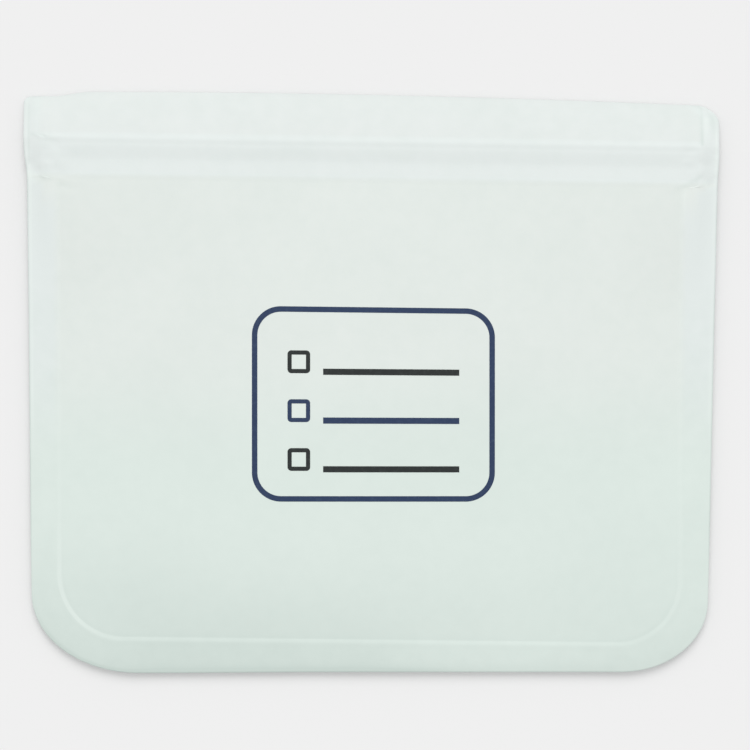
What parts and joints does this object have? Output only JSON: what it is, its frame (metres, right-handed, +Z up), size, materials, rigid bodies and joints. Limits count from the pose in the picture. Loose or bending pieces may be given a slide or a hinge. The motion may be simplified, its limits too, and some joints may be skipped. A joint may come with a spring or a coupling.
{
  "type": "reusable silicone bag",
  "caption": "Flat reusable food bag of frosted film with a welded rim, a press-to-close zip and flexing lips at its mouth; the front film lifts and the lip folds forward.",
  "frame": {"origin": "Middle of the footprint, on the surface that the bag lies on.", "axes": "+X along the mouth, +Y towards the mouth, +Z up out of the front film."},
  "size_m": [0.216, 0.18, 0.0071],
  "materials": {
    "frosted_film": "frosted, slightly translucent",
    "fused_weld": "frosted, denser where both films are fused",
    "zip_profile": "satin, translucent"
  },
  "bodies": {
    "back": {"back_panel": "frosted_film", "perimeter_weld": "fused_weld", "left_side_seal": "fused_weld", "right_side_seal": "fused_weld", "zip_groove_strip": "zip_profile"},
    "front": {"front_panel": "frosted_film", "zip_rib_strip": "zip_profile"},
    "front_lip": {"front_lip": "frosted_film"}
  },
  "joints": [
    {"name": "mouth_open", "type": "hinge", "parent": "back", "child": "front", "pos_m": [0, -0.0794, 0.00373], "axis": [1, 0, 0], "range_deg": [0, 12]},
    {"name": "lip_peel", "type": "hinge", "parent": "front", "child": "front_lip", "pos_m": [0, 0.07465, 0.0052], "axis": [1, 0, 0], "range_deg": [0, 100], "stiffness_Nm_per_rad": 0.0005}
  ]
}
